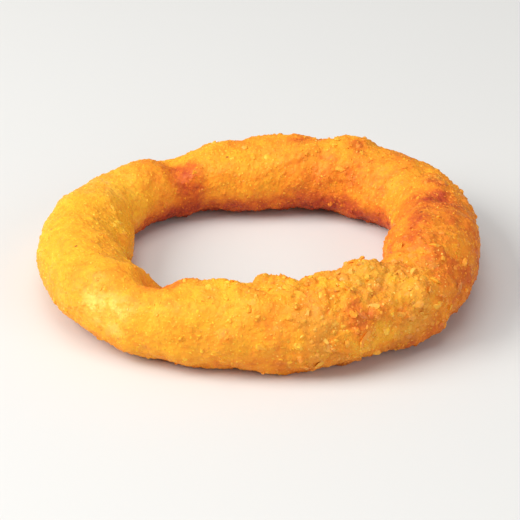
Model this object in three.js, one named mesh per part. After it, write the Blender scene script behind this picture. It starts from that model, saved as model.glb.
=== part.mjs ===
// One breaded onion ring, fried and whole: a slice of onion inside a crust of crumbs, lying flat.
// Millimetres, +Z up. The long side of the oval lies along X, the surface it lies on is z = 0,
// and the origin is at the middle of the ring's underside.

import * as THREE from "three";
import { ImprovedNoise } from "three/addons/math/ImprovedNoise.js";

// Outside size of the oval, and the height of the crust above the table
const LENGTH = 79.5;
const WIDTH = 70;
const HEIGHT = 14;

// 2 makes the oval a plain ellipse. A higher number fills out its four corners
const CORNERS = 2.2;

// The back right stands out further than the rest of the oval
const BULGE = { round: 48, reach: 50, distance: 3.6 };

// The crust is thickest at the front and thins out towards the back, where it is also lower
const THICK_WIDTH = 15.6;
const THIN_WIDTH = 13.6;
const THICK_AT = 262;
const THIN_HEIGHT = 0.92;

// Left of the crease the crust is slimmer for a stretch, in width and in height
const SLIM = { round: 135, reach: 40, share: 0.8 };

// Slow swellings of the section, as [how many round the ring, height, start]
const SWELLINGS = [
  [3, 0.35, 35],
  [5, 0.25, 120],
];

// Between its three feet the ring is lifted a little, and each foot is pressed flat in frying
const FEET = 3;
const FIRST_FOOT_AT = 30;
const LIFT = 0.9;
const FOOT_PRESSED = 0.6;

// 2 is a round section. A higher number is a boxier one, as on a thick slice of onion
const SQUARENESS = 2.18;
const TWIST = 4;

// Soft lumps of batter, as [distance between them, height]
const LUMPS = [
  [15, 0.8],
  [7, 0.6],
];

// Crags are clumps of crumbs that stand out of the crust
const CRAG_COUNT = 430;
const CRAG_SEED = 20;
const CRAG_RADIUS = [1.7, 2.9];
const CRAG_HEIGHT = [0.3, 1.0];
const CRAG_SPREAD = [0.35, 1];

// They are coarser at the front right, and the back left has fried almost smooth
const COARSENESS = 0.55;
const COARSER = { round: 318, reach: 74, change: 0.5 };
const SMOOTHER = { round: 165, reach: 63, change: -0.35 };

// Steps of the surface round the ring and round its section
const STEPS_ROUND = 154;
const STEPS_ABOUT = 34;

// What a cook would point at, in degrees round the ring from +X towards +Y, and in degrees
// round the section, where 0 faces out, 90 up and 180 into the hole
const MARKS = {
  creases: [
    { round: 119, about: 125, reach: 101, halfWidth: 2.0, depth: 1.7 },
    { round: 234.5, about: 132, reach: 84, halfWidth: 3.8, depth: 4.7 },
  ],
  pits: [
    { round: 14, about: 82, radius: 2.7, depth: 1.1 },
    { round: 55, about: 88, radius: 2.1, depth: 0.7 },
    { round: 305, about: 24, radius: 2.2, depth: 0.9 },
    { round: 265, about: 128, radius: 2.4, depth: 0.8 },
    { round: 283, about: 130, radius: 2.2, depth: 0.8 },
    { round: 212, about: 132, radius: 6.4, depth: 1.7 },
    { round: 116, about: 64, radius: 7.0, depth: 1.6 },
  ],
  clumps: [
    { round: 242, about: 126, radius: 3.2, height: 1.1 },
    { round: 260, about: 126, radius: 3.2, height: 0.7 },
    { round: 275, about: 124, radius: 3.8, height: 1.1 },
    { round: 292, about: 128, radius: 3.2, height: 1.0 },
    { round: 300, about: 124, radius: 3.2, height: 1.1 },
    { round: 307, about: 124, radius: 4.8, height: 2.3 },
    { round: 222, about: 66, radius: 3.6, height: 0.6 },
    { round: 104, about: 62, radius: 3.2, height: 0.3 },
    { round: 88, about: 56, radius: 3.0, height: 0.5 },
    { round: 62, about: 60, radius: 3.6, height: 0.9 },
    { round: 318, about: 40, radius: 3.8, height: 0.8 },
    { round: 336, about: 96, radius: 3.2, height: 0.7 },
    { round: 158, about: 118, radius: 3.4, height: 0.6 },
    { round: 168, about: 206, radius: 6.8, height: 2.6 },
    { round: 353, about: 178, radius: 5.0, height: 0.9 },
  ],
};

const TURN = 2 * Math.PI;
const SMALL_STEP = 0.01;
const { degToRad, lerp, clamp, smoothstep } = THREE.MathUtils;

// The same row of numbers from 0 to 1 on every run
function seededRow(seed) {
  let state = seed;
  return () => {
    state = (Math.imul(state, 1664525) + 1013904223) >>> 0;
    return state / 2 ** 32;
  };
}

// Shortest way from one angle to another, both in radians
function turnBetween(from, to) {
  return Math.abs(((((to - from) % TURN) + TURN * 1.5) % TURN) - TURN / 2);
}

// 1 at the mark, falling to 0 where the turn away from it is as large as its reach
function nearness(mark, round) {
  const reach = degToRad(mark.reach);
  return smoothstep(reach - turnBetween(degToRad(mark.round), round), 0, reach);
}

// Reach of an oval whose half sizes are both 1, in the direction given by two parts of one step
function roundedReach(across, up, corners) {
  return (Math.abs(across) ** corners + Math.abs(up) ** corners) ** (-1 / corners);
}

// 1 at the thickest place round the ring, 0 opposite it. Only the back is much thinner
function thickness(round) {
  const away = (1 - Math.cos(round - degToRad(THICK_AT))) / 2;
  return 1 - away ** 2;
}

// Half the section's width and height
function sectionSize(round) {
  const thick = thickness(round);
  let swelling = 0;
  for (const [count, height, start] of SWELLINGS) {
    swelling += height * Math.sin(count * round + degToRad(start));
  }
  const slim = lerp(1, SLIM.share, nearness(SLIM, round));
  return {
    halfWidth: slim * (lerp(THIN_WIDTH, THICK_WIDTH, thick) / 2 + swelling),
    halfHeight: slim * ((HEIGHT / 2) * lerp(THIN_HEIGHT, 1, thick) + swelling),
  };
}

// Point of the oval that the middle of the section follows
function middle(round) {
  const { halfWidth } = sectionSize(round);
  const across = Math.cos(round);
  const up = Math.sin(round);
  const reach = roundedReach(across, up, CORNERS);
  const x = (LENGTH / 2 - halfWidth) * reach * across;
  const y = (WIDTH / 2 - halfWidth) * reach * up;
  const out = BULGE.distance * nearness(BULGE, round);
  return new THREE.Vector3(x + out * across, y + out * up, 0);
}

// Level direction out of the ring at that place
function outwards(round) {
  const along = middle(round + SMALL_STEP).sub(middle(round - SMALL_STEP));
  return new THREE.Vector3(along.y, -along.x, 0).normalize();
}

// How far the underside is lifted off the table. It is below 0 at a foot, which is then pressed flat
function lift(round) {
  const wave = (1 - Math.cos(FEET * (round - degToRad(FIRST_FOOT_AT)))) / 2;
  return lerp(-FOOT_PRESSED, LIFT, wave);
}

// The smooth form of the crust, before lumps and crumbs
function smoothCrust(round, about) {
  const { halfWidth, halfHeight } = sectionSize(round);
  const tilt = degToRad(TWIST) * Math.cos(round - degToRad(THICK_AT));
  const across = Math.cos(about);
  const up = Math.sin(about);
  const reach = roundedReach(across, up, SQUARENESS);
  const section = new THREE.Vector2(halfWidth * reach * across, halfHeight * reach * up);
  section.rotateAround(new THREE.Vector2(), -tilt);
  const place = middle(round).addScaledVector(outwards(round), section.x);
  place.z = halfHeight + lift(round) + section.y;
  return place;
}

// Direction out of the smooth crust
function smoothNormal(round, about) {
  const along = smoothCrust(round + SMALL_STEP, about).sub(smoothCrust(round - SMALL_STEP, about));
  const around = smoothCrust(round, about + SMALL_STEP).sub(smoothCrust(round, about - SMALL_STEP));
  return along.cross(around).normalize();
}

// A dome that is highest in its middle and meets the crust at its radius
function dome(distance, radius) {
  return distance < radius ? 1 - (distance / radius) ** 2 : 0;
}

// Clumps and pits sit on the smooth crust at their marks
function onCrust({ round, about, ...rest }) {
  return { ...rest, centre: smoothCrust(degToRad(round), degToRad(about)) };
}
const clumps = MARKS.clumps.map(onCrust);
const pits = MARKS.pits.map(onCrust);

// 0 where the crags are small and low, 1 where they are large and high
function coarseness(round) {
  let coarse = COARSENESS;
  for (const mark of [COARSER, SMOOTHER]) {
    coarse += mark.change * nearness(mark, round);
  }
  return clamp(coarse, 0, 1);
}

function makeCrags() {
  const random = seededRow(CRAG_SEED);
  return Array.from({ length: CRAG_COUNT }, () => {
    const round = TURN * random();
    const about = TURN * random();
    const size = coarseness(round) * lerp(...CRAG_SPREAD, random());
    return {
      centre: smoothCrust(round, about),
      radius: lerp(...CRAG_RADIUS, size),
      height: lerp(...CRAG_HEIGHT, size * random()),
    };
  });
}
const crags = makeCrags();

// A crease crosses the top and the hole side, where two stretches of batter meet
function creaseDepth(crease, place, round, about) {
  const turned = turnBetween(degToRad(crease.round), round);
  const distance = turned * Math.hypot(place.x, place.y);
  const side = nearness({ round: crease.about, reach: crease.reach }, about);
  return crease.depth * side * Math.exp(-((distance / crease.halfWidth) ** 2));
}

const noise = new ImprovedNoise();

// How far the crumbed surface stands out of the smooth crust
function relief(place, round, about) {
  let height = 0;
  for (const crease of MARKS.creases) {
    height -= creaseDepth(crease, place, round, about);
  }
  for (const [spacing, lump] of LUMPS) {
    height += lump * noise.noise(place.x / spacing, place.y / spacing, place.z / spacing);
  }
  for (const pit of pits) {
    height -= pit.depth * dome(place.distanceTo(pit.centre), pit.radius);
  }
  for (const clump of clumps) {
    height += clump.height * dome(place.distanceTo(clump.centre), clump.radius);
  }
  let crag = 0;
  for (const { centre, radius, height: tall } of crags) {
    crag = Math.max(crag, tall * dome(place.distanceTo(centre), radius));
  }
  return height + crag;
}

// A torus gives the closed net of faces, and each of its corners is then moved to the crust
function makeCrust() {
  const geometry = new THREE.TorusGeometry(LENGTH / 2, HEIGHT / 2, STEPS_ABOUT, STEPS_ROUND);
  const { position, uv } = geometry.attributes;
  for (let i = 0; i < position.count; i += 1) {
    const round = TURN * (uv.getX(i) % 1);
    const about = TURN * (uv.getY(i) % 1);
    const place = smoothCrust(round, about);
    place.addScaledVector(smoothNormal(round, about), relief(place, round, about));
    position.setXYZ(i, place.x, place.y, Math.max(0, place.z));
  }
  geometry.computeBoundingBox();
  const centre = geometry.boundingBox.getCenter(new THREE.Vector3());
  geometry.translate(-centre.x, -centre.y, 0);
  geometry.computeVertexNormals();
  return geometry;
}

const crustMaterial = new THREE.MeshStandardMaterial({
  color: 0xf0a232,
  roughness: 0.55,
  metalness: 0,
});

const ring = new THREE.Mesh(makeCrust(), crustMaterial);
ring.name = "onion_ring";

const part = new THREE.Group();
part.add(ring);

export default part;
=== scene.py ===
# %% [markdown]
# # A breaded onion ring
#
# A breaded onion ring is a slice of onion, dipped in batter, rolled in breadcrumbs and fried. What
# we see is only the crust: a fat uneven tube, bent into an oval, with crumbs of every size packed
# all over it. In the shade where the crust dips or faces down, its gold turns to orange and red
# brown, and that shade is painted into its colour.
#
# We build it in the order a cook would: first the crust, then the crumbs that cling to it, from
# broad flakes down to fine ones. The colour of frying comes with the crust, because every crumb
# shares it. The solid of the ring is already there as a fixed frame, at its real size. We measure
# the crust's form from it, and the crumbs sit on that crust.

# %% The frame and the units
import math

import bmesh
import bpy
import numpy as np
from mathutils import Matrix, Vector
from mathutils.bvhtree import BVHTree


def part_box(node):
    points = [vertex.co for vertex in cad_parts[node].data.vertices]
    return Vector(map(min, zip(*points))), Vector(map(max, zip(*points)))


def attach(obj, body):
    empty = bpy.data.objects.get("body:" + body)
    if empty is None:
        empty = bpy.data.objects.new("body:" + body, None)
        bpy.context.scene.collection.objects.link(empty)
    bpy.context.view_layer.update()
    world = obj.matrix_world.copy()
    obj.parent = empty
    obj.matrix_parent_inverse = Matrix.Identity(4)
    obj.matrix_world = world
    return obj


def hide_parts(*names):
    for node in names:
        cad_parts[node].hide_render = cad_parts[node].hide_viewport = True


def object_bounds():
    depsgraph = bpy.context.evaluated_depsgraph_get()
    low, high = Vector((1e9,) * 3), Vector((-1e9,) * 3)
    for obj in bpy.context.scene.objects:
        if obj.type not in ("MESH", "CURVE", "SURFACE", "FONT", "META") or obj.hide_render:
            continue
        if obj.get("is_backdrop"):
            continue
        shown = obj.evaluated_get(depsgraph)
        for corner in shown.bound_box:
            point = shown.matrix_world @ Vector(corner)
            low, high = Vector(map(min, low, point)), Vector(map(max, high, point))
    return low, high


MM = 0.001
NODE = "onion_ring"

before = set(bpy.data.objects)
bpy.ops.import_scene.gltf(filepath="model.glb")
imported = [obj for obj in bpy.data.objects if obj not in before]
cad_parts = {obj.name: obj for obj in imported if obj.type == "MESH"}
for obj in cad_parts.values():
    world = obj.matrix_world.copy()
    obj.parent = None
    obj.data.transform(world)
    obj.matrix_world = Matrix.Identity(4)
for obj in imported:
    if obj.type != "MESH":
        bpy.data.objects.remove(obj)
cad_bounds = [list(corner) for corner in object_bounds()]
ring_low, ring_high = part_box(NODE)
ring_size = ring_high - ring_low
print("ring size in mm:", [round(side / MM, 1) for side in ring_size])

# %% [markdown]
# ## The camera
#
# The picture that we follow looks down on the ring at about thirty degrees. A long lens from half
# a metre away keeps the near side of the ring from looking much larger than the far side. We choose
# the width of the frame at the ring, and the length of the lens follows from it.

# %% The camera
VIEW_HEIGHT = math.radians(30)
VIEW_DISTANCE = 520 * MM
FRAME_WIDTH = 1.17 * ring_size.x
AIM = Vector((0, -1.0 * MM, 0.3 * ring_size.z))


def add_camera():
    data = bpy.data.cameras.new("camera")
    data.lens = data.sensor_width * VIEW_DISTANCE / FRAME_WIDTH
    data.clip_start = 10 * MM
    camera = bpy.data.objects.new("camera", data)
    towards = Vector((0, -math.cos(VIEW_HEIGHT), math.sin(VIEW_HEIGHT)))
    camera.location = AIM + VIEW_DISTANCE * towards
    camera.rotation_euler = towards.to_track_quat("Z", "Y").to_euler()
    bpy.context.scene.collection.objects.link(camera)
    bpy.context.scene.camera = camera
    return camera


camera = add_camera()
print("lens in mm:", round(camera.data.lens, 1))

# %% [markdown]
# ## Nodes as sums
#
# Geometry Nodes and shaders are both trees of small sums. Wiring them one link at a time hides what
# they work out, so we wrap a socket in a small class whose operators add Math nodes. Then
# `height * (1 - edge)` in Python becomes two nodes in the tree. Every other kind of node comes from
# one method, which takes its type, its settings and what its sockets hold.


# %% Sockets that can be added and multiplied
class Wire:
    """The output socket of a node, which can be used in sums."""

    def __init__(self, board, socket):
        self.board = board
        self.socket = socket

    def __add__(self, other):
        return self.board.math("ADD", self, other)

    def __radd__(self, other):
        return self.board.math("ADD", other, self)

    def __sub__(self, other):
        return self.board.math("SUBTRACT", self, other)

    def __rsub__(self, other):
        return self.board.math("SUBTRACT", other, self)

    def __mul__(self, other):
        return self.board.math("MULTIPLY", self, other)

    def __rmul__(self, other):
        return self.board.math("MULTIPLY", other, self)

    def __truediv__(self, other):
        return self.board.math("DIVIDE", self, other)

    def __rtruediv__(self, other):
        return self.board.math("DIVIDE", other, self)


# %% The node tree that they belong to
MIDDLE = (0.5, 0.5, 0.5)


class Board:
    """A node tree that is being built."""

    def __init__(self, tree):
        self.tree = tree

    def node(self, kind, settings=None, sockets=None):
        made = self.tree.nodes.new(kind)
        for name, value in (settings or {}).items():
            if name == "stops":
                self.set_stops(made.color_ramp, value)
            else:
                setattr(made, name, value)
        for name, value in (sockets or {}).items():
            self.feed(self.find(made.inputs, name), value)
        return made

    def find(self, sockets, name):
        """The socket of that name which the node's settings have switched on."""
        if isinstance(name, int):
            return sockets[name]
        return next(s for s in sockets if s.name == name and s.enabled)

    def feed(self, socket, value):
        if isinstance(value, Wire):
            self.tree.links.new(value.socket, socket)
        else:
            socket.default_value = value

    def out(self, made, name=0):
        return Wire(self, self.find(made.outputs, name))

    def set_stops(self, ramp, stops):
        while len(ramp.elements) < len(stops):
            ramp.elements.new(1.0)
        for element, (place, colour) in zip(ramp.elements, stops):
            element.position = place
            element.color = (*colour, 1.0)

    def math(self, operation, *values):
        made = self.node("ShaderNodeMath", {"operation": operation}, dict(enumerate(values)))
        return self.out(made)

    def vector_math(self, operation, *values):
        made = self.node("ShaderNodeVectorMath", {"operation": operation}, dict(enumerate(values)))
        return self.out(made, "Value" if operation == "DOT_PRODUCT" else "Vector")

    def scaled(self, vector, factor):
        sockets = {"Vector": vector, "Scale": factor}
        return self.out(self.node("ShaderNodeVectorMath", {"operation": "SCALE"}, sockets))

    def spread(self, value, low, high, to_low=0.0, to_high=1.0, smooth=True):
        """The value's span from low to high, spread over another span and held at its ends."""
        settings = {"interpolation_type": "SMOOTHSTEP" if smooth else "LINEAR"}
        sockets = {
            "Value": value,
            "From Min": low,
            "From Max": high,
            "To Min": to_low,
            "To Max": to_high,
        }
        return self.out(self.node("ShaderNodeMapRange", settings, sockets))

    def noise(self, place, size, detail=2.0, roughness=0.5):
        """Soft noise from 0 to 1, whose lumps are about as wide as the size."""
        sockets = {
            "Vector": place,
            "Scale": 1 / size,
            "Detail": detail,
            "Roughness": roughness,
        }
        return self.node("ShaderNodeTexNoise", {}, sockets)

    def swing(self, *noise):
        """The same noise as a number on either side of 0."""
        return self.out(self.noise(*noise), "Fac") - 0.5

    def bent(self, place, size, reach):
        """The place, pushed about by noise of that size."""
        push = self.vector_math("SUBTRACT", self.out(self.noise(place, size), "Color"), MIDDLE)
        return self.vector_math("ADD", place, self.scaled(push, reach))

    def cells(self, place, size, feature="F1"):
        """Voronoi cells about as wide as the size."""
        sockets = {"Vector": place, "Scale": 1 / size}
        return self.node("ShaderNodeTexVoronoi", {"feature": feature}, sockets)

    def lot(self, cells):
        """A number from 0 to 1 that is drawn for each cell."""
        return self.out(self.node("ShaderNodeSeparateXYZ", {}, {0: self.out(cells, "Color")}))

    def blend(self, factor, first, second):
        """The first colour, covered by the second as far as the factor says."""
        made = self.node("ShaderNodeMix", {"data_type": "RGBA", "clamp_factor": True})
        self.feed(self.find(made.inputs, "Factor"), factor)
        self.feed(self.find(made.inputs, "A"), first)
        self.feed(self.find(made.inputs, "B"), (*second, 1.0))
        return self.out(made, "Result")


# %% [markdown]
# The relief and the scattered crumbs each follow a rule, so each is a Geometry Nodes tree. The
# sizes are named inputs, which the modifier fills in before the object is first worked out. What
# comes out is turned into a plain mesh, and the modifier is taken off again.

# %% Geometry Nodes trees and what they make
SOCKET_KINDS = {float: "NodeSocketFloat", int: "NodeSocketInt"}


class Recipe(Board):
    """A Geometry Nodes tree with named inputs, which a modifier then fills in."""

    def __init__(self, name, **inputs):
        super().__init__(bpy.data.node_groups.new(name, "GeometryNodeTree"))
        interface = self.tree.interface
        interface.new_socket("Geometry", in_out="INPUT", socket_type="NodeSocketGeometry")
        interface.new_socket("Geometry", in_out="OUTPUT", socket_type="NodeSocketGeometry")
        self.identifiers = {}
        for label, value in inputs.items():
            kind = SOCKET_KINDS[type(value)]
            socket = interface.new_socket(label, in_out="INPUT", socket_type=kind)
            socket.default_value = value
            self.identifiers[label] = socket.identifier
        self.start = self.node("NodeGroupInput")
        self.end = self.node("NodeGroupOutput")

    def given(self, label):
        return self.out(self.start, label)

    def finish(self, geometry, material):
        """Instances are made real and given their material, and leave the tree."""
        real = self.out(self.node("GeometryNodeRealizeInstances", {}, {0: geometry}))
        sockets = {"Geometry": real, "Material": material}
        self.feed(self.end.inputs[0], self.out(self.node("GeometryNodeSetMaterial", {}, sockets)))

    def attribute(self, name):
        made = self.node("GeometryNodeInputNamedAttribute", {"data_type": "FLOAT"}, {"Name": name})
        return self.out(made, "Attribute")

    def store(self, geometry, name, value, domain="POINT", kind="FLOAT"):
        settings = {"domain": domain, "data_type": kind}
        sockets = {"Geometry": geometry, "Name": name, "Value": value}
        return self.out(self.node("GeometryNodeStoreNamedAttribute", settings, sockets))

    def random(self, low, high, seed, kind="FLOAT"):
        """A value drawn for each point or instance."""
        sockets = {"Min": low, "Max": high, "Seed": seed}
        made = self.node("FunctionNodeRandomValue", {"data_type": kind}, sockets)
        return self.out(made, "Value")

    def make(self, name, mesh, **values):
        """The plain mesh object that the tree makes from a mesh."""
        host = bpy.data.objects.new(name, mesh)
        bpy.context.scene.collection.objects.link(host)
        modifier = host.modifiers.new("recipe", "NODES")
        modifier.node_group = self.tree
        for label, value in values.items():
            modifier[self.identifiers[label]] = value
        depsgraph = bpy.context.evaluated_depsgraph_get()
        made = bpy.data.meshes.new_from_object(
            host.evaluated_get(depsgraph), preserve_all_data_layers=True, depsgraph=depsgraph
        )
        host.modifiers.remove(modifier)
        host.data = made
        made.name = name
        return host


# %% [markdown]
# ## Reading the crust's form off the solid
#
# The solid has the true form of the ring, but its faces are more than a millimetre wide and most
# crumbs are smaller than that. So we make a fine skin of the same form. We could divide the solid's
# own triangles, but they are uneven, and a ring suits a grid: one direction goes round the ring and
# one about its section. For every step round the ring we find the middle of the section, and for
# every step about it we send a ray out to the solid's surface. The distances, smoothed a little,
# are the form without its facets.

# %% Reading the crust's form off the solid
TURN = 2 * math.pi
STEPS_ROUND = 640
STEPS_ABOUT = 150
PAST_THE_RING = 60 * MM
MIDDLE_BLUR_STEPS = 8
FACET_BLUR = 0.55 * MM

rounds = np.arange(STEPS_ROUND) * TURN / STEPS_ROUND
abouts = np.arange(STEPS_ABOUT) * TURN / STEPS_ABOUT


def ray_tree(name):
    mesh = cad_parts[name].data
    corners = [vertex.co.copy() for vertex in mesh.vertices]
    faces = [list(face.vertices) for face in mesh.polygons]
    return BVHTree.FromPolygons(corners, faces)


solid = ray_tree(NODE)


def hit_from(start, direction):
    place, _, _, distance = solid.ray_cast(Vector(start), Vector(direction))
    assert place is not None, "a ray missed the solid"
    return distance


def outwards(angle):
    return Vector((math.cos(angle), math.sin(angle), 0))


def section_middle(angle):
    """Distance from the axis and height of the middle of the section at that angle."""
    out = outwards(angle)
    half_up = Vector((0, 0, ring_size.z / 2))
    inner = hit_from(half_up, out)
    outer = PAST_THE_RING - hit_from(half_up + PAST_THE_RING * out, -out)
    distance = (inner + outer) / 2
    top = PAST_THE_RING - hit_from(distance * out + Vector((0, 0, PAST_THE_RING)), (0, 0, -1))
    bottom = hit_from(distance * out - Vector((0, 0, PAST_THE_RING)), (0, 0, 1)) - PAST_THE_RING
    return distance, (top + bottom) / 2


def blurred(field, *steps):
    """A field that runs round in every direction, blurred by that many steps in each."""
    waves = np.fft.fftn(field)
    for axis, step in enumerate(steps):
        frequency = np.fft.fftfreq(field.shape[axis])
        shape = [-1 if i == axis else 1 for i in range(field.ndim)]
        waves = waves * np.exp(-2 * (math.pi * step * frequency) ** 2).reshape(shape)
    return np.real(np.fft.ifftn(waves))


middles = np.array([section_middle(angle) for angle in rounds])
middle_out = blurred(middles[:, 0], MIDDLE_BLUR_STEPS)
middle_up = blurred(middles[:, 1], MIDDLE_BLUR_STEPS)
tube_length = TURN * middle_out.mean()
print("middle of the crust lies", round(middle_out.mean() / MM, 1), "mm from the axis")


def read_radii():
    radii = np.empty((STEPS_ROUND, STEPS_ABOUT))
    up = Vector((0, 0, 1))
    for i, angle in enumerate(rounds):
        out = outwards(angle)
        start = middle_out[i] * out + middle_up[i] * up
        for j, about in enumerate(abouts):
            radii[i, j] = hit_from(start, math.cos(about) * out + math.sin(about) * up)
    return radii


radii = read_radii()
step_round = tube_length / STEPS_ROUND
step_about = TURN * radii.mean() / STEPS_ABOUT
radii = blurred(radii, FACET_BLUR / step_round, FACET_BLUR / step_about)
print("step of the skin in mm:", round(step_round / MM, 2), round(step_about / MM, 2))


# %% The grid's points
def grid_points():
    outs = np.stack([np.cos(rounds), np.sin(rounds), np.zeros_like(rounds)], 1)
    start = middle_out[:, None] * outs
    start[:, 2] = middle_up
    section = radii[..., None] * (
        np.cos(abouts)[None, :, None] * outs[:, None, :]
        + np.sin(abouts)[None, :, None] * np.array([0, 0, 1.0])
    )
    return start[:, None, :] + section


points = grid_points()
print("lowest grid point in mm:", round(points[..., 2].min() / MM, 2))

# %% [markdown]
# ## Where the crust is coarse, browned, shaded or glossy
#
# The crumbs aren't spread evenly. At the front right they are coarse, and the back left fried
# almost smooth. The crust is darker where it dips, in a crease at the back left and a notch at the
# front, and towards the hole, and that darkening is painted shade. Some spots are browner from
# frying, and others are made darker or paler as painted shade and painted light. Its left side
# shines with oil in places, and there a painted highlight lies in its colour.
#
# All this could be painted on the mesh with a brush, but a list of round spots is easier to read
# and to change. We work it out once, as numbers for each point of the grid, so that the relief, the
# scattered crumbs and the colours agree on it. Angles round the ring count from +X, and angles
# about the section from its outer side upwards.

# %% Masks over the grid
COARSENESS = 0.36
COARSE_SPOTS = [
    # degrees round, degrees about, width in mm, how much coarser
    (20, 70, 36, 0.16),
    (66, 70, 36, 0.20),
    (165, 80, 74, -0.35),
    (176, 155, 24, 0.55),
    (232, 60, 44, -0.15),
    (246, 108, 20, 0.22),
    (266, 120, 24, 0.34),
    (285, 335, 40, 0.16),
    (290, 120, 24, 0.30),
    (314, 45, 60, 0.54),
]
# Broad stretches of browning, some of them painted shade, and paler ones that are painted light.
BROWN_AND_PAINTED_LIGHT_STRETCHES = [
    # degrees round, degrees about, width in mm, how brown or shaded; below 0, paler as painted
    # light
    (8, 112, 20, 0.16),
    (50, 70, 70, 0.12),
    (56, 205, 30, 0.20),
    (86, 80, 28, 0.18),
    (95, 125, 40, -0.10),
    (130, 208, 26, 0.30),
    (133, 125, 24, 0.12),
    (158, 40, 22, 0.10),
    (170, 61, 20, 0.06),
    (178, 104, 40, -0.38),
    (182, 190, 28, -0.42),
    (192, 88, 92, -0.30),
    (200, 25, 46, 0.29),
    (204, 53, 24, 0.04),
    (246, 18, 20, -0.12),
    (345, 10, 30, 0.16),
    (345, 100, 32, 0.22),
    (350, 60, 100, 0.27),
]
# Small spots: blotches of real frying, painted shade, and paler spots that are painted light.
BROWN_AND_PAINTED_LIGHT_SPOTS = [
    # degrees round, degrees about, width in mm, how brown or shaded; below 0, paler as painted
    # light
    (0, 42, 16, 0.14),
    (7, 66, 8, 0.42),
    (10, 100, 5, 0.30),
    (12, 108, 10, 0.20),
    (13, 82, 7, 0.62),
    (20, 74, 5, 0.40),
    (24, 94, 5, 0.30),
    (51, 129, 8, 0.22),
    (55, 190, 13, 0.08),
    (56, 88, 6.5, 0.42),
    (70, 62, 8, 0.25),
    (70, 165, 12, 0.25),
    (76, 84, 7, 0.35),
    (96, 72, 9, 0.22),
    (107, 201, 9, 0.18),
    (122, 130, 7, 0.08),
    (133, 85, 16, 0.14),
    (152, 182, 12, -0.30),
    (176, 142, 10, 0.16),
    (180, 155, 14, 0.22),
    (216, 52, 14, 0.18),
    (243, 85, 10, -0.25),
    (247, 80, 12, -0.10),
    (260, 20, 8, 0.08),
    (268, 20, 18, 0.10),
    (273, 73, 10, 0.08),
    (288, 68, 9, 0.12),
    (297, 21, 8, 0.06),
    (297, 349, 9, -0.15),
    (298, 47, 6, 0.24),
    (299, 24, 8, 0.34),
    (299, 32, 16, 0.11),
    (304, 1, 9, -0.25),
    (308, 50, 8, 0.12),
    (313, 92, 14, -0.35),
    (318, 3, 10, -0.12),
    (321, 345, 14, 0.28),
    (334, 25, 18, 0.14),
    (339, 114, 7, 0.30),
    (345, 60, 15, -0.28),
    (352, 112, 6, 0.40),
]
GLOSS_AND_HIGHLIGHT_SPOTS = [
    # degrees round, degrees about, width in mm, how glossy and how strong the painted highlight
    (152, 70, 26, 0.3),
    (222, 20, 9, 1.0),
    (228, 7, 8, 0.7),
    (229, 33, 8, 0.8),
]


def rise(value, low, high):
    """0 up to the low value, 1 from the high one on, and smooth between them."""
    part = np.clip((value - low) / (high - low), 0, 1)
    return part * part * (3 - 2 * part)


def spot(round_at, about_at, width):
    """1 at that place on the skin, falling smoothly to 0 at half the width from it."""
    i = round(round_at / 360 * STEPS_ROUND) % STEPS_ROUND
    j = round(about_at / 360 * STEPS_ABOUT) % STEPS_ABOUT
    away = np.linalg.norm(points - points[i, j], axis=-1)
    return rise(1 - away / (width * MM / 2), 0, 1)


def spotted(start, spots):
    mask = np.full((STEPS_ROUND, STEPS_ABOUT), float(start))
    for *where, change in spots:
        mask += change * spot(*where)
    return mask


coarse = np.clip(spotted(COARSENESS, COARSE_SPOTS), 0, 1)
gloss = np.clip(spotted(0, GLOSS_AND_HIGHLIGHT_SPOTS), 0, 1)
print("coarseness from", round(coarse.min(), 2), "to", round(coarse.max(), 2))

# %% [markdown]
# Two more marks paint shade into the colour. The section is darkest where it faces down into the
# hole, and less so on its underside. A crease, where two stretches of batter meet, is darkened
# along its own line, also as painted shade.

# %% Painted shade towards the hole, below and in the creases
HOLE_SHADE = 0.80
HOLE_FACING = (238, 0.45, 0.95)
UNDER_SHADE = 0.35
UNDER_FACING = (285, 0.30, 1.0)
CREASE_SHADES = [
    # degrees round, degrees about of its middle, width in mm, how dark the painted shade
    (121.5, 165, 2.7, 0.76),
    (234.5, 150, 3.4, 0.45),
]
CREASE_SIDE = (-0.1, 0.6)
BROWN_KEPT_IN_CREASE = 0.5
BROWN_RANGE = (-0.45, 1)


def facing(about_at, low, high):
    """1 where the section faces that way, falling to 0 as it turns from it."""
    return rise(np.cos(abouts - math.radians(about_at)), low, high)


def crease_mask(round_at, about_at, width):
    """1 along the line that crosses the top and the hole side of the crust at a crease."""
    angle = math.radians(round_at)
    across = points[..., 1] * math.cos(angle) - points[..., 0] * math.sin(angle)
    same_side = points[..., 0] * math.cos(angle) + points[..., 1] * math.sin(angle) > 0
    line = np.exp(-((across / (width * MM)) ** 2))
    return same_side * facing(about_at, *CREASE_SIDE) * line


# Browning from the stretches and spots, with the painted shade and painted light among them.
brown = spotted(0, BROWN_AND_PAINTED_LIGHT_STRETCHES + BROWN_AND_PAINTED_LIGHT_SPOTS)
# Painted shade: darker where the section faces down into the hole, and less so underneath.
brown = brown + HOLE_SHADE * facing(*HOLE_FACING) + UNDER_SHADE * facing(*UNDER_FACING)
# Each crease is darkened along its line as painted shade.
for *where, change in CREASE_SHADES:
    crease_shade = change * crease_mask(*where) + BROWN_KEPT_IN_CREASE * brown
    brown = np.maximum(brown, crease_shade)
brown = np.clip(brown, *BROWN_RANGE)
print("browning from", round(brown.min(), 2), "to", round(brown.max(), 2))


# %% The skin as a mesh with its own map
BAKE_MAP = "OFBake"
MAP_PARTS = 4
MAP_MARGIN = 0.012


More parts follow.
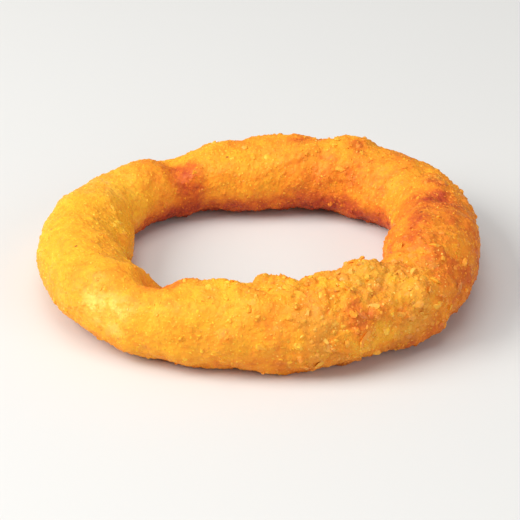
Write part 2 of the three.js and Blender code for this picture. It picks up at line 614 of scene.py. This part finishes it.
def grid_faces():
    i, j = np.meshgrid(np.arange(STEPS_ROUND), np.arange(STEPS_ABOUT), indexing="ij")
    ahead = (i + 1) % STEPS_ROUND
    above = (j + 1) % STEPS_ABOUT
    corner = [i * STEPS_ABOUT + j, ahead * STEPS_ABOUT + j]
    corner += [ahead * STEPS_ABOUT + above, i * STEPS_ABOUT + above]
    return np.stack(corner, -1).reshape(-1, 4)


def grid_map():
    """The ring cut into quarters, laid out in two rows of two, so that no part is squeezed."""
    side = math.isqrt(MAP_PARTS)
    per_part = STEPS_ROUND // MAP_PARTS
    i, j = np.meshgrid(np.arange(STEPS_ROUND), np.arange(STEPS_ABOUT), indexing="ij")
    part = i // per_part
    corners = []
    for step_i, step_j in ((0, 0), (1, 0), (1, 1), (0, 1)):
        along = (i - part * per_part + step_i) / per_part
        around = (j + step_j) / STEPS_ABOUT
        u = (part % side + MAP_MARGIN + (1 - 2 * MAP_MARGIN) * along) / side
        v = (part // side + MAP_MARGIN + (1 - 2 * MAP_MARGIN) * around) / side
        corners.append(np.stack([u, v], -1))
    return np.stack(corners, 2).reshape(-1, 2)


def set_floats(mesh, name, values):
    layer = mesh.attributes.new(name, "FLOAT", "POINT")
    layer.data.foreach_set("value", np.ascontiguousarray(values, np.float32).ravel())


def skin_mesh():
    mesh = bpy.data.meshes.new("skin")
    mesh.from_pydata(points.reshape(-1, 3).tolist(), [], grid_faces().tolist())
    layer = mesh.uv_layers.new(name=BAKE_MAP)
    layer.uv.foreach_set("vector", grid_map().astype(np.float32).ravel())
    for name, values in (("coarse", coarse), ("brown", brown), ("gloss", gloss)):
        set_floats(mesh, name, values)
    mesh.polygons.foreach_set("use_smooth", [True] * len(mesh.polygons))
    mesh.update()
    return mesh


skin = skin_mesh()
print("skin faces:", len(skin.polygons))

# %% [markdown]
# ## The colours of frying and of painted shade
#
# One crust has many colours: yellow gold where it is open, orange between the crumbs, red brown in
# dents and towards the hole, and a few dark specks. The orange and red brown in the dents, creases,
# towards the hole and underneath are painted shade. A painted picture would have to be fitted to
# thousands of crumbs. Noise on the object's own coordinates runs on from the crust to its crumbs by
# itself, so the colour comes from noise of several sizes. It is pushed by what the meshes know
# about themselves: how deep a point lies, which darkens it as painted shade, how browned or shaded
# and how coarse its place is, and how toasted each chip is. A light oily coat and a little light
# under the surface finish it.

# %% The colours of frying and of painted shade
PALE_GOLD = (0.98, 0.55, 0.026)
GOLD = (0.94, 0.40, 0.020)
AMBER = (0.88, 0.27, 0.015)
ORANGE = (0.67, 0.142, 0.012)
RED_BROWN = (0.46, 0.056, 0.014)
DARK_BROWN = (0.21, 0.030, 0.013)
FRYING_AND_SHADE = [
    # how brown or shaded, from 0 to 1, and its colour
    (0.00, PALE_GOLD),
    (0.22, GOLD),
    (0.42, AMBER),
    (0.62, ORANGE),
    (0.84, RED_BROWN),
    (1.00, DARK_BROWN),
]
print("colours of frying:", len(FRYING_AND_SHADE))

# %% [markdown]
# The finest crumbs are too small to be worth a mesh, so the material draws them: Voronoi cells,
# bent with noise, with a dome in every cell. Each cell also draws a number, its lot, so that the
# domes differ. We keep these with what the mesh knows, in one class that every mask below can ask.

# %% What the material knows about each place
BLOTCH_DETAIL = 3.0
BLOTCH_ROUGHNESS = 0.6
FINE_SIZE = 0.9 * MM
GRAIN_SIZE = 0.62 * MM
GRAIN_BEND_SIZE = 0.9 * MM
GRAIN_BEND = 0.6 * MM
DOME_FOOT = 0.62
DOME_TOP = 0.08


class CrustPaint(Board):
    """The node tree of a crust material, with what it knows about each place."""

    def __init__(self, name):
        self.material = bpy.data.materials.new(name)
        self.material.use_nodes = True
        super().__init__(self.material.node_tree)
        self.tree.nodes.clear()
        self.place = self.out(self.node("ShaderNodeTexCoord"), "Object")
        self.coarse = self.attribute("coarse")
        self.brown = self.attribute("brown")
        self.gloss = self.attribute("gloss")
        self.dent = self.attribute("dent")
        self.tone = self.attribute("tone")
        self.fine = self.blotches(FINE_SIZE)
        bent = self.bent(self.place, GRAIN_BEND_SIZE, GRAIN_BEND)
        grain = self.cells(bent, GRAIN_SIZE)
        self.dome = self.spread(self.out(grain, "Distance"), DOME_FOOT, DOME_TOP)
        self.lot_of_grain = self.lot(grain)

    def attribute(self, label):
        return self.out(self.node("ShaderNodeAttribute", {"attribute_name": label}), "Fac")

    def blotches(self, size, detail=BLOTCH_DETAIL):
        """Blotches about as wide as the size, as a number on either side of 0."""
        return self.swing(self.place, size, detail, BLOTCH_ROUGHNESS)


# %% How brown or shaded each place is
PATCH_SIZE = 12 * MM
PATCHES = 0.38
MOTTLE_SIZE = 3.4 * MM
MOTTLE = 0.20
MOTTLE_WHERE_COARSE = 0.18
MOTTLE_WHERE_BROWN = 0.55
FINE_MOTTLE = 0.12
SHADE_IN_DENTS = 0.06
SPOT_BROWN_AND_SHADE = 0.56
PALE_ON_DOMES = 0.09


def browning_and_shade(paint, start, tone_share):
    mottle = MOTTLE + MOTTLE_WHERE_COARSE * paint.coarse + MOTTLE_WHERE_BROWN * paint.brown
    brown = start + PATCHES * paint.blotches(PATCH_SIZE) + FINE_MOTTLE * paint.fine
    brown = brown + mottle * paint.blotches(MOTTLE_SIZE)
    # Dents between the chips are darkened as painted shade, and the spots add their browning,
    # painted shade and painted light.
    brown = brown + SHADE_IN_DENTS * paint.dent + SPOT_BROWN_AND_SHADE * paint.brown
    brown = brown + tone_share * (paint.tone - 0.5)
    return brown - PALE_ON_DOMES * paint.dome * paint.lot_of_grain


# %% [markdown]
# On top of the browning and painted shade lie five thin layers, each with a colour and a mask that
# says where it is. Some of the finest crumbs stay pale gold. Where the frying oil still shines, a
# paler lemon yellow is painted in as a highlight. Coarse places are partly olive, and their palest
# crumbs keep the cream of raw bread. A few specks are burnt dark. Most masks cut soft noise off
# below a level, which leaves blotches.

# %% Masks for the layers of colour
PALE_SIZE = 3.0 * MM
PALE_WHERE_COARSE = 0.16
PALE_EDGE = (0.10, 0.22)
PALE_LOTS = (0.55, 0.80)
SHINE_SIZE = 2.6 * MM
SHINE_EDGE = (-0.10, 0.08)
SHINE_RANGE = (0.25, 1.0)
OLIVE_SIZE = 6 * MM
OLIVE_WHERE_COARSE = 0.35
OLIVE_EDGE = (0.27, 0.36)
OLIVE_STRENGTH = (0.16, 0.28)
RAW_TONES = (0.16, 0.06)
RAW_COARSENESS = (0.3, 0.8)
SPECK_SPACING = 2.6 * MM
SPECK_EDGE = (0.15, 0.09)
SPECK_GROUP_SIZE = 7 * MM
SPECK_GROUP_EDGE = (0.10, 0.16)
SOFT_DETAIL = 2.0


def more_with(mask, least, more):
    """The least where the mask is 0, and that much more where it is 1."""
    return least + more * mask


def pale_grain(paint, share):
    """The finest crumbs that stay pale, in groups."""
    group = paint.blotches(PALE_SIZE, SOFT_DETAIL) + share + PALE_WHERE_COARSE * paint.coarse
    chosen = paint.spread(paint.lot_of_grain, *PALE_LOTS)
    return paint.spread(group, *PALE_EDGE) * paint.dome * chosen * (1 - paint.brown)


def shining(paint):
    """Where the oil shines, in blotches, which also places the painted highlight."""
    blotches = paint.blotches(SHINE_SIZE, SOFT_DETAIL)
    return paint.gloss * paint.spread(blotches, *SHINE_EDGE, *SHINE_RANGE)


def olive_places(paint):
    """Duller patches of the coarse places."""
    level = paint.blotches(OLIVE_SIZE, SOFT_DETAIL) + OLIVE_WHERE_COARSE * paint.coarse
    strength = more_with(paint.coarse, *OLIVE_STRENGTH)
    return paint.spread(level, *OLIVE_EDGE) * strength * (1 - paint.brown)


def raw_crumbs(paint):
    """The palest crumbs of the coarse places."""
    return paint.spread(paint.tone, *RAW_TONES) * paint.spread(paint.coarse, *RAW_COARSENESS)


def specks(paint):
    """Small dark specks, in groups."""
    away = paint.out(paint.cells(paint.place, SPECK_SPACING), "Distance")
    group = paint.blotches(SPECK_GROUP_SIZE, SOFT_DETAIL)
    return paint.spread(away, *SPECK_EDGE) * paint.spread(group, *SPECK_GROUP_EDGE)


# %% [markdown]
# The finish is more than colour. A fried crust is dull where it is dry and a little smoother where
# oil has soaked in, and a thin oily coat lies on it, more of it on coarse crumbs. The finest grain
# is a bump, because it is far smaller than the steps of the mesh.

# %% Roughness, oil and bump
DULL_SIZE = 4.5 * MM
DULL_FINE = 0.3
DULL_EDGE = (-0.15, 0.2)
ROUGHNESS_RANGE = (0.52, 0.76)
SMOOTHER_IN_OIL = 0.25
OIL_SOAKED_IN = (0.4, 1.3)
LESS_OIL_WHERE_BROWN = 0.6
OIL_IN_SHINE = 0.40
DOME_HEIGHTS = (0.35, 0.65)
GRIT_SIZE = 0.38 * MM
GRIT = 0.5
BUMP_HEIGHTS = (0.65, 0.50)
BUMP_STRENGTH = 0.6
BUMP_DISTANCE = 0.20 * MM


def dullness(paint, shine):
    level = paint.blotches(DULL_SIZE) + DULL_FINE * paint.fine
    return paint.spread(level, *DULL_EDGE, *ROUGHNESS_RANGE) - SMOOTHER_IN_OIL * shine


def oil_coat(paint, oil, shine):
    soaked = oil * more_with(paint.coarse, *OIL_SOAKED_IN)
    return soaked * (1 - LESS_OIL_WHERE_BROWN * paint.brown) + OIL_IN_SHINE * shine


def grain_bump(paint):
    height = paint.dome * more_with(paint.lot_of_grain, *DOME_HEIGHTS)
    height = height + GRIT * paint.blotches(GRIT_SIZE)
    height = height * more_with(paint.coarse, *BUMP_HEIGHTS)
    sockets = {"Strength": BUMP_STRENGTH, "Distance": BUMP_DISTANCE, "Height": height}
    return paint.out(paint.node("ShaderNodeBump", {}, sockets), "Normal")


# %% The crust's two materials
OLIVE = (0.70, 0.33, 0.038)
CREAM = (1.00, 0.66, 0.16)
HIGHLIGHT_LEMON = (1.00, 0.72, 0.130)
PALE_COVER = 0.60
HIGHLIGHT_COVER = 0.80
SPECK_COVER = 0.85
SAME_ALL_OVER = {
    "Coat Roughness": 0.36,
    "Specular IOR Level": 0.25,
    "Subsurface Weight": 0.10,
    "Subsurface Radius": (1.0, 0.38, 0.08),
    "Subsurface Scale": 0.9 * MM,
}


def crust_material(name, start, tone_share, pale_share, raw_share, oil):
    """The colours of frying, with painted shade and a painted highlight.

    start is how brown the finish is before anything is added, tone_share how much the tone of
    each chip or crumb changes that, pale_share how many places stay pale, raw_share how far the
    palest crumbs stay the cream of raw bread, and oil how much of the frying oil still coats it.
    """
    paint = CrustPaint(name)
    shine = shining(paint)
    brown = browning_and_shade(paint, start, tone_share)
    # The ramp colours browning and painted shade alike.
    ramp = paint.node("ShaderNodeValToRGB", {"stops": FRYING_AND_SHADE}, {"Fac": brown})
    colour = paint.out(ramp, "Color")
    colour = paint.blend(PALE_COVER * pale_grain(paint, pale_share), colour, PALE_GOLD)
    # The lemon yellow where the oil shines is a painted highlight.
    colour = paint.blend(HIGHLIGHT_COVER * shine, colour, HIGHLIGHT_LEMON)
    colour = paint.blend(olive_places(paint), colour, OLIVE)
    colour = paint.blend(raw_share * raw_crumbs(paint), colour, CREAM)
    colour = paint.blend(SPECK_COVER * specks(paint), colour, DARK_BROWN)
    sockets = {
        "Base Color": colour,
        "Roughness": dullness(paint, shine),
        "Coat Weight": oil_coat(paint, oil, shine),
        "Normal": grain_bump(paint),
    }
    shader = paint.node("ShaderNodeBsdfPrincipled", {}, sockets | SAME_ALL_OVER)
    output = paint.node("ShaderNodeOutputMaterial")
    paint.feed(output.inputs["Surface"], paint.out(shader, "BSDF"))
    print(name, "has", len(paint.tree.nodes), "nodes")
    return paint.material


crust = crust_material(
    "crust", start=0.26, tone_share=0.18, pale_share=0.0, raw_share=0.0, oil=0.05
)
crumb_crust = crust_material(
    "crumb_crust", start=0.13, tone_share=0.30, pale_share=0.17, raw_share=0.50, oil=0.42
)

# %% [markdown]
# ## Relief: packed crumbs pressed into the batter
#
# Breadcrumbs that are fried into batter look like a rough mosaic: chips of different heights, each
# a little tilted, with creases between them. They could be sculpted one by one, but Voronoi cells
# have just that layout, and a rule is easier to change. Each cell gets a random height and a random
# tilt, and it slopes down to its border. We bend the cells with noise so that no straight border
# shows, use a fine and a coarse set, add soft lumps of batter under them, and push the skin out by
# the sum.

# %% Packed chips
BENDS_ACROSS_A_CHIP = 1.6
BEND_SHARE = 0.9
CHIP_LEAST = 0.25
CHIP_MORE = 0.75
CHIP_SLOPE = 1.1


def packed_chips(recipe, place, size, shoulder_width):
    """How high packed chips are, how deep between them each point lies, and each chip's tone."""
    bent = recipe.bent(place, size / BENDS_ACROSS_A_CHIP, BEND_SHARE * size)
    cell = recipe.cells(bent, size)
    border = recipe.cells(bent, size, "DISTANCE_TO_EDGE")
    shoulder = recipe.spread(recipe.out(border, "Distance"), 0.0, shoulder_width)
    tone = recipe.lot(cell)
    tilt = recipe.vector_math("SUBTRACT", recipe.out(cell, "Color"), MIDDLE)
    inside = recipe.vector_math("SUBTRACT", bent, recipe.out(cell, "Position"))
    slope = recipe.vector_math("DOT_PRODUCT", tilt, inside) / size
    height = shoulder * (CHIP_LEAST + CHIP_MORE * tone + CHIP_SLOPE * slope)
    return height, 1 - shoulder, tone


# %% A recipe for the relief
FINE_SHOULDER = 0.36
LARGE_SHOULDER = 0.22
FINE_HEIGHTS = (0.55, 0.45)
LARGE_SUNK = 0.35
LUMP_HEIGHTS = (0.5, 0.95)
FINE_DENT = 0.6


def relief_recipe():
    recipe = Recipe(
        "crumb_relief",
        fine_size=0.95 * MM,
        fine_height=0.38 * MM,
        coarse_size=2.8 * MM,
        coarse_height=0.85 * MM,
        lump_size=4.2 * MM,
        lump_height=1.4 * MM,
    )
    place = recipe.out(recipe.node("GeometryNodeInputPosition"))
    rough = recipe.attribute("coarse")
    size = recipe.given("fine_size")
    fine, fine_gap, fine_tone = packed_chips(recipe, place, size, FINE_SHOULDER)
    size = recipe.given("coarse_size")
    large, large_gap, large_tone = packed_chips(recipe, place, size, LARGE_SHOULDER)

    height = recipe.given("fine_height") * fine * more_with(rough, *FINE_HEIGHTS)
    height = height + recipe.given("coarse_height") * (large - LARGE_SUNK) * rough * rough
    lump_height = recipe.given("lump_height") * more_with(rough, *LUMP_HEIGHTS)
    height = height + lump_height * recipe.swing(place, recipe.given("lump_size"))
    offset = recipe.scaled(recipe.out(recipe.node("GeometryNodeInputNormal")), height)
    sockets = {"Geometry": recipe.given("Geometry"), "Offset": offset}
    moved = recipe.out(recipe.node("GeometryNodeSetPosition", {}, sockets))

    dent = recipe.math("MAXIMUM", FINE_DENT * fine_gap, large_gap * rough)
    tone = fine_tone + rough * (large_tone - fine_tone)
    stored = recipe.store(recipe.store(moved, "dent", dent), "tone", tone)
    recipe.finish(stored, crust)
    return recipe


# %% The finished skin
def rest_on_table(piece):
    """Nothing reaches below the table. What would is pressed flat on it."""
    mesh = piece.data
    places = np.empty(len(mesh.vertices) * 3, np.float32)
    mesh.vertices.foreach_get("co", places)
    places = places.reshape(-1, 3)
    low = places[:, 2].min()
    places[:, 2] = np.maximum(places[:, 2], 0)
    mesh.vertices.foreach_set("co", places.ravel())
    mesh.update()
    print(piece.name, "lowest point before pressing, in mm:", round(float(low) / MM, 2))


relief = relief_recipe()
skin_piece = relief.make("crust_skin", skin)
rest_on_table(skin_piece)
print("skin triangles:", 2 * len(skin_piece.data.polygons))

# %% [markdown]
# ## Crumbs: a few chips, scattered by rule
#
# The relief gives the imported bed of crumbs. The ones on top stand free, catch the light and break
# the outline, so they are real pieces. A crumb is a broken chip: we start from a small ball and cut
# it by random planes, which leaves a closed shape with flat faces. It is shaded smooth, but where
# two faces meet at a clear angle the edge stays sharp, so that each face catches the light alone.
#
# Eight shapes of each kind are enough, because each copy is turned and sized at random: plain chips
# of twenty faces for the fine and middle crumbs, of which there are thousands, rough ones with more
# faces for the coarse crumbs, and flat ones for the flakes.

# %% A map for each chip
ON_THE_AXIS = 0.01


def chip_map(mesh):
    """Each chip is mapped as a disc seen from its top, with its underside as the rim."""
    layer = mesh.uv_layers.new(name=BAKE_MAP)
    for face in mesh.polygons:
        ways = [mesh.vertices[v].co.normalized() for v in face.vertices]
        angles = [math.atan2(way.y, way.x) for way in ways]
        level = [i for i, way in enumerate(ways) if math.hypot(way.x, way.y) > ON_THE_AXIS]
        across = sum(math.cos(angles[i]) for i in level)
        along = sum(math.sin(angles[i]) for i in level)
        for i, loop in enumerate(face.loop_indices):
            angle = angles[i] if i in level else math.atan2(along, across)
            reach = math.acos(max(-1.0, min(1.0, ways[i].z))) / math.pi * 0.5
            layer.uv[loop].vector = (0.5 + reach * math.cos(angle), 0.5 + reach * math.sin(angle))


# %% Chips of crumb
CHIP_SHAPES = 8
CHIP_PLANES = 9
PLANE_DEPTHS = (0.26, 0.50)
UNCUT_REACH = 0.62
LEAST_SLANT = 0.2
CHIP_LENGTHS = (0.9, 1.25)
CHIP_WIDTHS = (0.65, 0.95)
UNEVEN = (0.98, 1.02)
SHARP_EDGE = math.radians(32)


def chip_mesh(name, subdivisions, thickness, random):
    """A closed chip of crumb about 1 across, wider than it is tall."""
    build = bmesh.new()
    bmesh.ops.create_icosphere(build, subdivisions=subdivisions, radius=1.0)
    planes = random.normal(size=(CHIP_PLANES, 3))
    planes /= np.linalg.norm(planes, axis=1)[:, None]
    depths = random.uniform(*PLANE_DEPTHS, CHIP_PLANES)
    sides = (CHIP_LENGTHS, CHIP_WIDTHS, thickness)
    stretch = np.array([random.uniform(*side) for side in sides])
    for vertex in build.verts:
        way = np.array(vertex.co.normalized())
        cuts = [depth / max(way @ plane, LEAST_SLANT) for plane, depth in zip(planes, depths)]
        reach = min(*cuts, UNCUT_REACH)
        vertex.co = Vector(way * reach * stretch * random.uniform(*UNEVEN))
    mesh = bpy.data.meshes.new(name)
    build.to_mesh(mesh)
    build.free()
    chip_map(mesh)
    return mesh


def chip_collection(name, subdivisions, thickness, seed):
    random = np.random.default_rng(seed)
    collection = bpy.data.collections.new(name)
    for number in range(CHIP_SHAPES):
        mesh = chip_mesh(f"{name}_{number}", subdivisions, thickness, random)
        mesh.polygons.foreach_set("use_smooth", [True] * len(mesh.polygons))
        mesh.set_sharp_from_angle(angle=SHARP_EDGE)
        collection.objects.link(bpy.data.objects.new(mesh.name, mesh))
    print(name, "has", len(mesh.polygons), "faces")
    return collection


THICK = (0.50, 0.75)
FLAT = (0.26, 0.40)
plain_chips = chip_collection("plain_chip", 1, THICK, seed=12)
rough_chips = chip_collection("rough_chip", 2, THICK, seed=13)
flat_chips = chip_collection("flat_chip", 2, FLAT, seed=14)

# %% [markdown]
# Poisson spacing keeps the crumbs from piling up, and the mask of coarseness says where they are
# dense. Small ones are more frequent than large ones, so we square the draw that gives the size. A
# crumb leans a little any way and is sunk by a tenth of its size or a little more, as if fried in.
# Its tone is drawn too, so that some crumbs come out pale and others toasted.

# %% A recipe that scatters crumbs
DENSE_PACKING = 1.7
LEAN = 0.5


def crumb_places(recipe, size):
    """Spots on the skin, denser where it is coarse, each sunk by its share of a crumb's size."""
    share = recipe.given("even_share") + recipe.given("coarse_share") * recipe.attribute("coarse")
    sockets = {
        "Mesh": recipe.given("Geometry"),
        "Distance Min": recipe.given("spacing"),
        "Density Max": DENSE_PACKING / (recipe.given("spacing") * recipe.given("spacing")),
        "Density Factor": share,
        "Seed": recipe.given("seed"),
    }
    settings = {"distribute_method": "POISSON"}
    spots = recipe.node("GeometryNodeDistributePointsOnFaces", settings, sockets)
    drop = recipe.scaled(recipe.out(spots, "Normal"), 0 - recipe.given("sink") * size)
    sockets = {"Geometry": recipe.out(spots, "Points"), "Offset": drop}
    places = recipe.out(recipe.node("GeometryNodeSetPosition", {}, sockets))
    return places, recipe.out(spots, "Rotation")


def crumb_recipe(name, chips):
    recipe = Recipe(
        name,
        smallest=0.6 * MM,
        largest=1.1 * MM,
        spacing=0.9 * MM,
        coarse_share=0.5,
        even_share=0.5,
        sink=0.1,
        palest=0.0,
        seed=1,
    )
    seed = recipe.given("seed")
    draw = recipe.random(0.0, 1.0, seed + 1)
    sizes = (recipe.given("smallest"), recipe.given("largest"))
    size = recipe.spread(draw * draw, 0.0, 1.0, *sizes, smooth=False)
    places, upright = crumb_places(recipe, size)

    spin = recipe.random((-LEAN, -LEAN, 0.0), (LEAN, LEAN, TURN), seed + 2, "FLOAT_VECTOR")
    settings = {"rotation_space": "LOCAL"}
    sockets = {"Rotation": upright, "Rotate By": spin}
    turned = recipe.out(recipe.node("FunctionNodeRotateRotation", settings, sockets))
    sockets = {"Collection": chips, "Separate Children": True, "Reset Children": True}
    shapes = recipe.out(recipe.node("GeometryNodeCollectionInfo", {}, sockets))
    sockets = {
        "Points": places,
        "Instance": shapes,
        "Pick Instance": True,
        "Instance Index": recipe.random(0, CHIP_SHAPES - 1, seed + 3, "INT"),
        "Rotation": turned,
        "Scale": size,
    }
    crumbs = recipe.out(recipe.node("GeometryNodeInstanceOnPoints", {}, sockets))
    number = recipe.out(recipe.node("GeometryNodeInputIndex"))
    crumbs = recipe.store(crumbs, "crumb", number, "INSTANCE", "INT")
    tone = recipe.random(recipe.given("palest"), 1.0, seed + 4)
    recipe.finish(recipe.store(crumbs, "tone", tone, "INSTANCE"), crumb_crust)
    return recipe


# %% [markdown]
# For the colours to be baked onto a picture, every point of the surface needs a place of its own.
# All copies of a chip carry the same small map, so we move each to a square of its own.

# %% Cells of the map for the crumbs
CELL_MARGIN = 0.1


def give_each_crumb_a_cell(piece):
    """The map of every crumb moves to a square cell of its own."""
    mesh = piece.data
    crumb = np.empty(len(mesh.vertices), np.int32)
    mesh.attributes["crumb"].data.foreach_get("value", crumb)
    corner_points = np.empty(len(mesh.loops), np.int32)
    mesh.loops.foreach_get("vertex_index", corner_points)
    crumb = crumb[corner_points]
    side = math.ceil(math.sqrt(crumb.max() + 1))
    layer = mesh.uv_layers[BAKE_MAP]
    places = np.empty(len(mesh.loops) * 2, np.float32)
    layer.uv.foreach_get("vector", places)
    places = CELL_MARGIN + (1 - 2 * CELL_MARGIN) * places.reshape(-1, 2)
    cells = np.stack([crumb % side, crumb // side], 1)
    layer.uv.foreach_set("vector", ((cells + places) / side).astype(np.float32).ravel())
    return crumb.max() + 1


# %% The four kinds of crumb
CRUMBS = {
    "flakes": {
        "chips": flat_chips,
        "smallest": 1.6 * MM,
        "largest": 2.8 * MM,
        "spacing": 1.9 * MM,
        "coarse_share": 1.6,
        "even_share": -0.70,
        "sink": 0.11,
        "palest": 0.20,
        "seed": 11,
    },
    "coarse_crumbs": {
        "chips": rough_chips,
        "smallest": 1.0 * MM,
        "largest": 1.8 * MM,
        "spacing": 1.8 * MM,
        "coarse_share": 1.2,
        "even_share": -0.25,
        "sink": 0.14,
        "palest": 0.07,
        "seed": 21,
    },
    "middle_crumbs": {
        "chips": plain_chips,
        "smallest": 0.65 * MM,
        "largest": 1.15 * MM,
        "spacing": 1.15 * MM,
        "coarse_share": 0.55,
        "even_share": 0.12,
        "sink": 0.16,
        "seed": 51,
    },
    "fine_crumbs": {
        "chips": plain_chips,
        "smallest": 0.36 * MM,
        "largest": 0.72 * MM,
        "spacing": 0.66 * MM,
        "coarse_share": 0.35,
        "even_share": 0.68,
        "sink": 0.10,
        "seed": 81,
    },
}


def scatter(name, chips, **values):
    recipe = crumb_recipe(name, chips)
    piece = recipe.make(name, skin_piece.data, **values)
    count = give_each_crumb_a_cell(piece)
    rest_on_table(piece)
    faces = sum(len(face.vertices) - 2 for face in piece.data.polygons)
    print(name, "has", count, "crumbs and", faces, "triangles")
    return piece


crumb_pieces = [scatter(name, **values) for name, values in CRUMBS.items()]

# %% [markdown]
# ## A table and soft light
#
# Fried food is photographed in broad soft light, so that the crust glows and the shade between the
# crumbs stays warm. One large light stands to the upper left and a little in front, a wide one
# hangs overhead, and a third fills in from the front right. The table is plain and pale, so that
# the light which it throws back has hardly a colour of its own.

# %% The table and the lights
TABLE_COLOUR = (0.70, 0.70, 0.69)
TABLE_ROUGHNESS = 0.6
TABLE_SIZE = 3.0
WHITE = (1.0, 1.0, 1.0)
WARM_WHITE = (1.0, 0.98, 0.94)
SOFTBOXES = {
    # place and width in metres, watts, colour
    "key": ((-0.56, -0.12, 0.44), 0.44, 5.3, WARM_WHITE),
    "overhead": ((-0.08, -0.12, 0.74), 0.60, 2.6, WHITE),
    "fill": ((0.54, -0.48, 0.30), 0.50, 1.5, WHITE),
}
SKY_STRENGTH = 0.30


def add_table():
    build = bmesh.new()
    bmesh.ops.create_grid(build, x_segments=1, y_segments=1, size=TABLE_SIZE)
    mesh = bpy.data.meshes.new("table")
    build.to_mesh(mesh)
    build.free()
    table = bpy.data.objects.new("table", mesh)
    material = bpy.data.materials.new("pale_table")
    material.use_nodes = True
    shader = material.node_tree.nodes["Principled BSDF"]
    shader.inputs["Base Color"].default_value = (*TABLE_COLOUR, 1)
    shader.inputs["Roughness"].default_value = TABLE_ROUGHNESS
    mesh.materials.append(material)
    bpy.context.scene.collection.objects.link(table)
    table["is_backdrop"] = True


def add_softbox(name, place, width, watts, colour):
    data = bpy.data.lights.new(name, "AREA")
    data.size = width
    data.energy = watts
    data.color = colour
    light = bpy.data.objects.new(name, data)
    light.location = Vector(place)
    light.rotation_euler = Vector(place).to_track_quat("Z", "Y").to_euler()
    bpy.context.scene.collection.objects.link(light)


def add_sky(colour, strength):
    world = bpy.data.worlds.new("sky")
    world.use_nodes = True
    background = world.node_tree.nodes["Background"]
    background.inputs["Color"].default_value = (*colour, 1)
    background.inputs["Strength"].default_value = strength
    bpy.context.scene.world = world


add_table()
for name, softbox in SOFTBOXES.items():
    add_softbox(name, *softbox)
add_sky(WHITE, SKY_STRENGTH)
bpy.context.scene.view_settings.view_transform = "Standard"
print("lights:", ", ".join(SOFTBOXES))

# %% [markdown]
# ## The pieces join the ring
#
# A fried ring is one thing and nothing on it moves alone, so the skin and all the crumbs belong to
# its one body. The skin stands for the solid, which is hidden, because it would show through here
# and there.

# %% The pieces join the body
BODY = "root"

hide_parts(NODE)
for piece in (skin_piece, *crumb_pieces):
    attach(piece, BODY)

sizes = {"cad": cad_bounds, "visual": [list(corner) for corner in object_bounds()]}
for corner in sizes["visual"]:
    print("corner of the visual box in mm:", [round(value / MM, 1) for value in corner])
